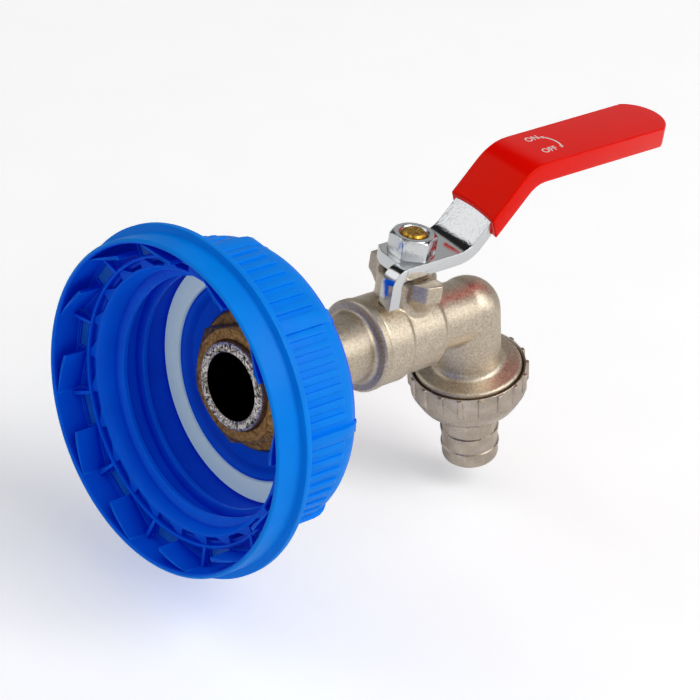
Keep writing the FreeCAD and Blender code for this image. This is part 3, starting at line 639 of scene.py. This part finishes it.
# Painted shade: a dark ring stands where the outlet's thread lies in shade inside the nut's mouth
THREAD_SHADE = plain_finish("painted shade in a thread", "#241610", "#4A2E1E", 0.5, 0.5)
PRINT = plain_finish("white pad print", "#E8E4E0", "#F4F1EE", 0.5, 0.2, round_mm=0.0)

NODE_FINISHES = {
    "cap_seal": SEAL, "outer_washer": SEAL, "hose_washer": SEAL, "lock_nut": SANDY, "inlet_connector": CONNECTOR,
    "body_oring": ORING, "stem_oring": ORING, "inlet_seat": PTFE, "outlet_seat": PTFE,
    "stem_thrust_washer": PTFE, "stem_packing": PTFE, "ball": BALL, "stem": BRASS, "gland_nut": SATIN,
    "coupling_cap": BLUE, "tamper_band": BLUE, "valve_body": CAST, "lever": CHROME, "lever_sleeve": RED,
    "lever_nut": CHROME, "hose_tail": SATIN, "union_nut": SATIN,
}


def dress_nodes():
    """Gives every carried-over solid its finish."""
    for name, finish in NODE_FINISHES.items():
        mesh = nodes[name].data
        mesh.materials.clear()
        mesh.materials.append(finish)


# Cap

def make_cap():
    """The cap's shell, turned, with its rounded rear shoulder and cored grip wall."""
    shell = lathe("cap_shell", [
        (CAP_FRONT, CAP_LIP_R), (CAP_FRONT, SKIRT_R), (CORE_END, SKIRT_R), (CORE_END, CORE_R),
        (GRIP_FRONT, CORE_R), (GRIP_FRONT, GRIP_R), (GRIP_END, GRIP_R), *SHOULDER, (CAP_REAR, CAP_REAR_R),
        (CAP_REAR, HOLE_R), (CAP_FLOOR, HOLE_R), *HOLLOW, (SEAL_FACE, RIDGE_R), (SEAL_FACE, NECK_ROOT_R),
        (CAP_FRONT + CAP_LIP_DEPTH, NECK_ROOT_R)])
    soften(shell, 0.3)
    finish_piece(shell, "valve", BLUE, ["coupling_cap"])
    finish_piece(make_neck_thread(), "valve", BLUE)
    finish_piece(make_grip(), "valve", BLUE)


def make_neck_thread():
    """The coarse right-handed thread: one ridge wound up the neck wall, fading out at both ends."""
    steps = int(THREAD_SWEEP / THREAD_STEP)
    foot = NECK_ROOT_R + 0.25
    start = THREAD_AT_ZERO + THREAD_PITCH * THREAD_START / 360
    outline = [(start - 1.15, foot, 0), (start - 0.8, THREAD_CREST_R + 0.35, 0),
               (start - 0.5, THREAD_CREST_R, 0), (start + 0.4, THREAD_CREST_R, 0),
               (start + 0.8, THREAD_CREST_R + 0.35, 0), (start + 1.8, foot, 0)]
    ridge = draw_outline("neck_thread", outline)
    leave_edit()
    apply_modifier(ridge, "SCREW", axis="X", angle=math.radians(THREAD_SWEEP), steps=steps, render_steps=steps,
                   screw_offset=THREAD_PITCH * THREAD_SWEEP / 360, use_merge_vertices=False)
    ring_size = len(outline)
    for index, vertex in enumerate(ridge.data.vertices):
        turned = THREAD_SWEEP * (index // ring_size) / steps
        edge = min(turned, THREAD_SWEEP - turned) / THREAD_FADE
        if edge < 1:
            radius = math.hypot(vertex.co.y, vertex.co.z)
            kept = foot - (foot - radius) * math.sin(math.pi / 2 * edge)
            vertex.co.y *= kept / radius
            vertex.co.z *= kept / radius
    ridge.data.transform(Matrix.Rotation(math.radians(THREAD_START), 4, "X"))
    only(ridge)
    bpy.ops.object.mode_set(mode="EDIT")
    close_up()
    leave_edit()
    return ridge


def make_grip():
    """The grip: fine ribs with rounded ridges in eight sectors, each with one tall saw-tooth lug."""
    rib = make_grip_rib("rib", RIB_WIDTH, RIB_HEIGHT, RIB_HEIGHT, RIB_TAIL)
    lug = make_grip_rib("lug", LUG_WIDTH, LUG_HEIGHT, RIB_HEIGHT, LUG_TAIL)
    starts = [LUG_FIRST + 360 * sector / LUGS for sector in range(LUGS)]
    ribs = copy_round(rib, [start + RIB_STEP * (i + 1) for start in starts for i in range(RIBS_PER_LUG)], "ribs")
    lugs = copy_round(lug, starts, "lugs")
    return join([ribs, lugs], "grip_ribs")


def make_grip_rib(name, width, first, last, tail):
    """One rib at angle 0, higher on its first side; its tail is given as (x, drop) down the rear shoulder."""
    root = GRIP_R - 0.8
    side = [(GRIP_FRONT, root, 0), (GRIP_FRONT, GRIP_R + first, 0)]
    side += [(x, GRIP_R + first - drop, 0) for x, drop in tail] + [(tail[-1][0], root - 1.5, 0)]
    rib = slab(name, side, (0, 0, width))
    for vertex in rib.data.vertices:
        if vertex.co.z > width / 2 and vertex.co.y > root + 0.1:
            vertex.co.y -= first - last
    return soften(rib, 0.2, 2)


# Tamper band

def make_band():
    """The tamper band: rim wall and flange, its open ledge with webs, ratchet pawls and breakable bridges."""
    shell = lathe("band_shell", [
        (BAND_FRONT, 38.4), (BAND_FRONT, 38.8), (BAND_FRONT + 0.4, BAND_R), (BAND_STEP, BAND_R),
        (BAND_STEP, FLANGE_R), (FLANGE_REAR, FLANGE_R), (FLANGE_REAR, RING_R), (RING_FRONT, RING_R),
        (RING_FRONT, RING_OUTER_R), (LEDGE, RING_OUTER_R), (LEDGE, BAND_INNER_R),
        (BAND_FRONT + 0.4, BAND_INNER_R)])
    soften(shell, 0.18)
    angles = [PAWL_FIRST + 360 * i / PAWLS for i in range(PAWLS)]
    wedge = make_pocket(WEDGE_ANGLES, (PAWL_TIP_R, POCKET_R))
    window = make_pocket(WINDOW_ANGLES, (POCKET_R, POCKET_R))
    pockets = copy_round(join([wedge, window], "pockets"), angles, "pockets")
    apply_modifier(shell, "BOOLEAN", operation="DIFFERENCE", object=pockets, solver="EXACT")
    bpy.data.objects.remove(pockets)
    finish_piece(shell, "valve", BLUE, ["tamper_band"])
    finish_piece(copy_round(make_pocket_floor(), angles, "pocket_floors"), "valve", THIN_BLUE)
    finish_piece(copy_round(make_pawl(), angles, "band_pawls"), "valve", BLUE)
    finish_piece(copy_round(make_web(), angles, "band_webs"), "valve", BLUE)
    halves = [PAWL_FIRST + 180 * i / PAWLS for i in range(2 * PAWLS)]
    finish_piece(copy_round(make_bridge(), halves, "band_bridges"), "valve", BLUE)


def make_pocket(angles, radii):
    """A hollow in the ledge between the ring and two outer corners, down to a thin floor."""
    depth = FLANGE_REAR - POCKET_FLOOR - BAND_STEP + 1
    first, last = angles
    middle = (first + last) / 2
    inner = RING_OUTER_R + 0.02
    return slab("pocket", [polar(BAND_STEP - 1, inner, -first), polar(BAND_STEP - 1, radii[0], -first),
                           polar(BAND_STEP - 1, radii[1], -last), polar(BAND_STEP - 1, inner, -last),
                           polar(BAND_STEP - 1, inner, -middle)], (depth, 0, 0))


def make_pocket_floor():
    """The thin skin at the bottom of a window, with a finish painted pale and glowing as if light came through it."""
    first, last = THIN_ANGLES
    front = FLANGE_REAR - POCKET_FLOOR - 0.02
    corners = [polar(front, RING_OUTER_R + 0.1, -first), polar(front, POCKET_R - 0.1, -first),
               polar(front, POCKET_R - 0.1, -last), polar(front, RING_OUTER_R + 0.1, -last)]
    return slab("pocket_floor", corners, (0.01, 0, 0))


def make_pawl():
    """One ratchet pawl: a slightly curved leaf from the rim wall to its free edge at angle 0."""
    corners = []
    for t in (0.0, 0.25, 0.5, 0.75, 1.0):
        radius = PAWL_TIP_R + (BAND_INNER_R + 0.2 - PAWL_TIP_R) * t - PAWL_BOW * math.sin(math.pi * t)
        corners.append(polar(PAWL_FRONT, radius, -PAWL_SWEEP * t))
    for t in (0.75, 0.5, 0.25, 0.0):
        radius = PAWL_TIP_R + 1.0 + (BAND_INNER_R - 0.8 - PAWL_TIP_R) * t - PAWL_BOW * math.sin(math.pi * t)
        corners.append(polar(PAWL_FRONT, radius, -PAWL_SWEEP * t * 0.92))
    leaf = slab("pawl", corners, (LEDGE_REAR - PAWL_FRONT, 0, 0))
    for vertex in leaf.data.vertices:
        if vertex.co.x < PAWL_FRONT + 0.1 and vertex.co.z > -1.5:
            vertex.co.x += 0.5
    return soften(leaf, 0.16, 2)


def make_web():
    """The small radial web that ties the ring to the rim wall at a pawl's root."""
    inner = (-19.5, RING_R + 0.3)
    outer = (-21.2, BAND_INNER_R + 0.1)
    corners = [polar(*inner, WEB_ANGLE - WEB_HALF), polar(*outer, WEB_ANGLE - WEB_HALF),
               polar(*outer, WEB_ANGLE + WEB_HALF), polar(*inner, WEB_ANGLE + WEB_HALF)]
    return soften(slab("web", corners, (1.4, 0, 0)), 0.15, 2)


def make_bridge():
    """One breakable bridge from the ring to the cap's skirt, drawn wide and slanted at the skirt."""
    corners = [polar(CAP_FRONT, SKIRT_R - 0.15, angle) for angle in (-1.5, 1.3, 4.1, 7.0)]
    corners += [polar(CAP_FRONT, RING_R + 0.2, 1.0), polar(CAP_FRONT, RING_R + 0.2, -1.2)]
    return soften(slab("bridge", corners, (0.8, 0, 0)), 0.1, 1)


# Lever

def lever_points(offset, start, end):
    """The lever's side line a way below its upper face: corners and arc points as (x from the stem, z)."""
    slope = math.atan2(GRIP_TOP - PLATE_TOP, BEND_SECOND - BEND_FIRST)
    shift = offset * math.tan(slope / 2)
    first = Vector((BEND_FIRST + shift, PLATE_TOP - offset))
    second = Vector((BEND_SECOND + shift, GRIP_TOP - offset))
    points = [(start, PLATE_TOP - offset)]
    points += fillet_points(first, 0.0, slope, BEND_R + offset)
    points += fillet_points(second, slope, 0.0, SECOND_R - offset)
    points.append((end, GRIP_TOP - offset))
    return points


def fillet_points(corner, slope_in, slope_out, radius, count=8):
    """Points on the arc that rounds a corner between two slopes."""
    turn = slope_out - slope_in
    side = 1 if turn > 0 else -1
    reach = radius * math.tan(abs(turn) / 2)
    first = corner - reach * Vector((math.cos(slope_in), math.sin(slope_in)))
    centre = first + side * radius * Vector((-math.sin(slope_in), math.cos(slope_in)))
    points = []
    for i in range(count + 1):
        heading = slope_in + turn * i / count
        points.append(tuple(centre + side * radius * Vector((math.sin(heading), -math.cos(heading)))))
    return points


def make_lever():
    """The pressed steel lever: heel round the stem, bent-down stop tab and the bar with its two bends."""
    upper = lever_points(0.0, LEVER_HEEL, BAR_END)
    lower = lever_points(PLATE_THICK, LEVER_HEEL, BAR_END)
    side = [(STEM_X + x, -LEVER_HALF, z) for x, z in upper + lower[::-1]]
    bar = slab("lever_bar", side, (0, 2 * LEVER_HALF, 0))
    low = PLATE_TOP - PLATE_THICK
    notch = slab("notch", [(STEM_X + x, y, low - 1) for x, y in HEEL_CUT], (0, 0, 6))
    apply_modifier(bar, "BOOLEAN", operation="DIFFERENCE", object=notch, solver="EXACT")
    bpy.data.objects.remove(notch)
    outer_bend = [(x + LEVER_HEEL, z + low - 0.8) for x, z in arc((0, 0), 4.0, 90, 180, 8)]
    inner_bend = [(x + LEVER_HEEL, z + low - 0.8) for x, z in arc((0, 0), 0.8, 180, 90, 4)]
    tab_side = [(-6.9, PLATE_TOP), *outer_bend, (-11.0, 11.6), (-7.8, 11.6), *inner_bend, (-6.9, low)]
    tab = slab("lever_tab", [(STEM_X + x, -6.4, z) for x, z in tab_side], (0, 3.9, 0))
    apply_modifier(bar, "BOOLEAN", operation="UNION", object=tab, solver="EXACT")
    bpy.data.objects.remove(tab)
    soften(bar, 0.8, 4, 40)
    finish_piece(bar, "lever", CHROME, ["lever"])


def make_sleeve():
    """The dipped sleeve: a soft skin over the bar, cut a little aslant at its mouth and closed at its end."""
    slope = math.atan2(GRIP_TOP - PLATE_TOP, BEND_SECOND - BEND_FIRST)
    half = LEVER_HALF + SLEEVE_WALL
    reach = LEVER_REACH + SLEEVE_WALL
    upper = lever_points(-SLEEVE_WALL, SLEEVE_START, reach)
    lower = lever_points(PLATE_THICK + SLEEVE_UNDER, SLEEVE_START, reach)
    side = [(STEM_X + x, -half, z) for x, z in upper + lower[::-1]]
    sleeve = slab("sleeve_skin", side, (0, 2 * half, 0))
    along = Vector((math.cos(slope), 0, math.sin(slope)))
    outwards = Vector((-math.sin(slope), 0, math.cos(slope))) + SLEEVE_LEAN * along
    corner = Vector((STEM_X + BEND_FIRST, 0, PLATE_TOP)) - 12 * outwards
    edge = [corner + (SLEEVE_BARE - MOUTH_CURVE * (y / half) ** 2 + MOUTH_SKEW * y) * along + Vector((0, y, 0))
            for y in range(-9, 10, 1)]
    cutter = slab("mouth_cut", [corner - 20 * along - Vector((0, 9, 0))] + edge
                  + [corner - 20 * along + Vector((0, 9, 0))], 20 * outwards)
    apply_modifier(sleeve, "BOOLEAN", operation="DIFFERENCE", object=cutter, solver="EXACT")
    bpy.data.objects.remove(cutter)
    tip_r = half + 0.6
    plan = [(STEM_X - 2, -half - 1, 0), (STEM_X + reach - tip_r, -half - 1, 0)]
    plan += [(STEM_X + reach - tip_r + x, y, 0) for x, y in arc((0, 0), tip_r, -70, 70, 24)]
    plan += [(STEM_X + reach - tip_r, half + 1, 0), (STEM_X - 2, half + 1, 0)]
    keep = slab("plan", plan, (0, 0, 60))
    apply_modifier(sleeve, "BOOLEAN", operation="INTERSECT", object=keep, solver="EXACT")
    bpy.data.objects.remove(keep)
    soften(sleeve, 1.2, 6, 40)
    finish_piece(sleeve, "lever", RED, ["lever_sleeve"])


def make_print():
    """The white print on the grip: two words and a double-headed arrow that bends round between them."""
    face = GRIP_TOP + SLEEVE_WALL + 0.02
    pieces = [make_word("ON", PRINT_ON, face), make_word("OFF", PRINT_OFF, face)]
    centre, radius, width = PRINT_ARC
    first, last = PRINT_ARC_ANGLES
    line = arc(centre, radius + width / 2, first, last, 24) + arc(centre, radius - width / 2, last, first, 24)
    pieces.append(slab("print_arc", [(x, y, face) for x, y in line], (0, 0, PRINT_THICK)))
    for angle, turn in ((first, -90), (last, 90)):
        tip = Vector(arc(centre, radius, angle, angle, 1)[0])
        ahead = math.radians(angle + turn)
        forward = Vector((math.cos(ahead), math.sin(ahead)))
        aside = Vector((-forward.y, forward.x))
        head = [tip + 0.8 * forward, tip + 0.55 * aside - 0.2 * forward, tip - 0.55 * aside - 0.2 * forward]
        pieces.append(slab("print_head", [(p.x, p.y, face) for p in head], (0, 0, PRINT_THICK)))
    finish_piece(join(pieces, "grip_print"), "lever", PRINT)


def make_word(word, place, height):
    """One printed word along the lever, as a thin mesh."""
    leave_edit()
    bpy.ops.object.text_add(location=(0, 0, 0))
    text = bpy.context.object
    text.data.body = word
    text.data.size = PRINT_SIZE
    text.data.extrude = PRINT_THICK / 2
    text.data.offset = PRINT_WEIGHT
    bpy.ops.object.convert(target="MESH")
    text.data.transform(Matrix.Translation((place[0], place[1], height + PRINT_THICK / 2)))
    text.name = "print_" + word.lower()
    return text


# Small hardware

def make_lever_nut():
    """The chromed hexagon nut: chamfered corners, a countersunk thread and a washer face."""
    corner_r = NUT_ACROSS / math.sqrt(3)
    top = PLATE_TOP + NUT_HEIGHT
    corners = [polar(PLATE_TOP, corner_r, 112 + 60 * i) for i in range(6)]
    hexagon = slab("nut_hexagon", corners, (NUT_HEIGHT, 0, 0))
    cone = lathe("nut_cone", [(PLATE_TOP - 0.1, 2.2), (PLATE_TOP - 0.1, 5.3), (PLATE_TOP + 0.45, 6.0),
                              (top - 0.9, 6.0), (top - 0.05, 4.75), (top - 0.05, 3.75), (top - 0.8, 3.0),
                              (top - 2.0, 2.2)], 64)
    apply_modifier(hexagon, "BOOLEAN", operation="INTERSECT", object=cone, solver="EXACT")
    bpy.data.objects.remove(cone)
    soften(hexagon, 0.12, 2, 25)
    finish_piece(to_stem(hexagon), "lever", CHROME, ["lever_nut"])


def make_union_nut():
    """The union nut: a cup with short ribs, a domed bottom and a dark ring of painted shade in its threaded mouth."""
    dome = [(23.5, 14.2), (25.0, 13.4), (26.0, 12.85), (27.0, 12.2), (28.0, 11.2), (28.8, 10.3), (29.3, 9.5)]
    shell = lathe("union_nut_shell", [(16.9, 13.95), (16.9, 14.2)] + dome + [
        (29.3, 7.4), (26.1, 7.4), (26.1, 11.0), (25.5, 11.6), (23.9, 11.6), (23.4, 13.25), (17.8, 13.25)])
    soften(shell, 0.15)
    rib = slab("nut_rib", [(17.0, 13.8, -0.85), (17.0, 14.9, -0.6), (17.0, 14.9, 0.6), (17.0, 13.8, 0.85)],
               (6.4, 0, 0))
    for vertex in rib.data.vertices:
        if vertex.co.x > 20 and vertex.co.y > 14.5:
            vertex.co.x -= 1.4
            vertex.co.y -= 0.15
    soften(rib, 0.2, 3)
    ribs = copy_round(rib, [UNION_RIB_FIRST + 360 * i / UNION_RIBS for i in range(UNION_RIBS)], "nut_ribs")
    finish_piece(to_outlet(join([shell, ribs], "union_nut_cup")), "union_nut", SATIN,
                 ["union_nut"])
    # A ring of painted shade in the mouth, where the thread lies in shade
    mouth = lathe("nut_thread_mouth", [(16.95, 13.93), (17.75, 13.27), (17.95, 13.27), (17.15, 13.95)])
    finish_piece(to_outlet(mouth), "union_nut", THREAD_SHADE)


def make_hose_tail():
    """The hose tail: a clamped flange, a plain neck and two barbs, each with a crisp step towards the nut."""
    tail = lathe("hose_tail_turned", [
        (24.2, 5.1), (24.2, 10.9), (24.5, 11.2), (25.7, 11.2), (26.0, 10.9), (26.0, 6.8), (30.0, 6.85),
        (35.7, 6.78), (35.8, 7.22), (36.4, 7.22), (37.4, 7.02), (38.6, 6.93), (40.4, 6.9), (40.5, 7.22),
        (41.1, 7.22), (42.0, 6.98), (43.0, 6.9), (43.9, 6.98), (44.5, 6.8), (45.0, 6.3), (45.1, 5.9),
        (45.1, 5.5), (44.7, 5.1)])
    soften(tail, 0.06, 2, 40)
    finish_piece(to_outlet(tail), "hose_tail", SATIN, ["hose_tail"])


def make_casting():
    """The cast body: the solid's own form with the soft corners that a sand mould leaves."""
    source = nodes["valve_body"]
    casting = source.copy()
    casting.data = source.data.copy()
    casting.parent = None
    for key in [k for k in casting.keys() if k.startswith("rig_")]:
        del casting[key]
    bpy.context.scene.collection.objects.link(casting)
    casting.name = "valve_casting"
    casting.data.transform(Matrix.Translation((-SEAL_TO_ORIGIN, 0, 0)) @ Matrix.Scale(1 / MM, 4))
    only(casting)
    bpy.ops.object.mode_set(mode="EDIT")
    bpy.ops.mesh.select_all(action="SELECT")
    bpy.ops.mesh.remove_doubles(threshold=0.001)
    leave_edit()
    apply_modifier(casting, "REMESH", mode="VOXEL", voxel_size=CASTING_CORNER, use_smooth_shade=True)
    apply_modifier(casting, "SMOOTH", factor=0.5, iterations=5)
    finish_piece(casting, "valve", CAST, ["valve_body"], smooth=60)


# Studio

# Directions of the room's darker and brighter zones, as (direction, from cosine, to cosine, brightness)
ROOM_ZONES = (
    ((0.13, 0.62, 0.77), 0.74, 0.86, 0.02),
    ((0.66, 0.60, 0.45), 0.90, 0.96, 0.44),
    ((-0.49, 0.59, 0.64), 0.90, 0.965, 1.15),
    ((0.66, -0.22, 0.72), 0.91, 0.96, 0.04),
)

# Where the room is darker: to the left of the camera and behind it
SHADED_SIDE = (-0.95, 0.10, 0.0)

# How bright the room is, how bright the camera sees it, and how much brighter the camera sees the floor
ROOM_STRENGTH = 0.85
ROOM_SEEN = 1.16
FLOOR_SEEN = 0.28

# Lamps, as (name, place, size, power, aim)
LAMPS = (
    ("key_lamp", (0.35, -0.95, 1.1), 0.8, 8.0, (0.03, 0, 0)),
    ("side_lamp", (0.9, -0.8, 0.4), 0.6, 1.5, (0.05, 0, 0)),
)


def make_room(scene):
    """A soft room, white to the camera; it lights the tap from overhead, with a few dark and bright zones."""
    world = scene.world or bpy.data.worlds.new("room")
    scene.world = world
    world.use_nodes = True
    tree = world.node_tree
    background = tree.nodes["Background"]
    way = add(tree, "ShaderNodeTexCoord").outputs["Generated"]
    height = add(tree, "ShaderNodeSeparateXYZ", links={"Vector": way}).outputs["Z"]
    level = add(tree, "ShaderNodeMapRange", {"From Min": 0.05, "From Max": 0.6, "To Min": 0.25, "To Max": 1.0},
                {"Value": height}).outputs["Result"]
    side = add(tree, "ShaderNodeVectorMath", {1: SHADED_SIDE}, {0: way}, operation="DOT_PRODUCT")
    shade = add(tree, "ShaderNodeMapRange", {"From Min": 0.0, "From Max": 0.9, "To Min": 1.0, "To Max": 0.45},
                {"Value": side.outputs["Value"]}).outputs["Result"]
    level = add(tree, "ShaderNodeMath", links={0: level, 1: shade}, operation="MULTIPLY").outputs["Value"]
    for direction, low, high, brightness in ROOM_ZONES:
        near = add(tree, "ShaderNodeVectorMath", {1: direction}, {0: way}, operation="DOT_PRODUCT")
        share = add(tree, "ShaderNodeMapRange", {"From Min": low, "From Max": high},
                    {"Value": near.outputs["Value"]}, interpolation_type="SMOOTHSTEP").outputs["Result"]
        level = add(tree, "ShaderNodeMix", {"B": brightness}, {"Factor": share, "A": level},
                    data_type="FLOAT").outputs["Result"]
    seen = add(tree, "ShaderNodeLightPath").outputs["Is Camera Ray"]
    level = add(tree, "ShaderNodeMix", {"B": ROOM_SEEN}, {"Factor": seen, "A": level},
                data_type="FLOAT").outputs["Result"]
    tree.links.new(level, background.inputs["Color"])
    background.inputs["Strength"].default_value = ROOM_STRENGTH


def pale_floor():
    """A matt white floor that the camera sees a little brighter than it lights the tap."""
    finish = plain_finish("matt white floor", "#FBFBFB", "#FDFDFD", 0.9, 4.0, depth_mm=0.0)
    tree = finish.node_tree
    shader = tree.nodes["Principled BSDF"]
    shader.inputs["Emission Color"].default_value = (1.0, 1.0, 1.0, 1.0)
    seen = add(tree, "ShaderNodeLightPath").outputs["Is Camera Ray"]
    glow = add(tree, "ShaderNodeMath", {1: FLOOR_SEEN}, {0: seen}, operation="MULTIPLY")
    tree.links.new(glow.outputs["Value"], shader.inputs["Emission Strength"])
    return finish


def make_studio():
    """A plain pale floor in the room, and two large lamps."""
    scene = bpy.context.scene
    make_room(scene)
    leave_edit()
    bpy.ops.mesh.primitive_plane_add(size=6.0, location=(0, 0, cad_box[0][2] - FLOOR_GAP))
    floor = bpy.context.object
    floor.name = "floor"
    floor.data.materials.append(pale_floor())
    for name, place, size, power, aim in LAMPS:
        data = bpy.data.lights.new(name, "AREA")
        data.size = size
        data.energy = power
        lamp = bpy.data.objects.new(name, data)
        lamp.location = place
        lamp.rotation_euler = (Vector(aim) - Vector(place)).to_track_quat("-Z", "Y").to_euler()
        scene.collection.objects.link(lamp)
    scene.view_settings.view_transform = "Standard"


def make_camera():
    """The photograph's view."""
    data = bpy.data.cameras.new("camera")
    data.lens = CAMERA_LENS
    data.sensor_width = 36.0
    camera = bpy.data.objects.new("camera", data)
    columns = [Vector(CAMERA_RIGHT), Vector(CAMERA_UP), Vector(CAMERA_BACK)]
    camera.matrix_world = Matrix.Translation(CAMERA_PLACE) @ Matrix(columns).transposed().to_4x4()
    bpy.context.scene.collection.objects.link(camera)
    bpy.context.scene.camera = camera


make_camera()
dress_nodes()
make_cap()
make_band()
make_lever()
make_sleeve()
make_print()
make_lever_nut()
make_union_nut()
make_hose_tail()
make_casting()
make_studio()

leave_edit()
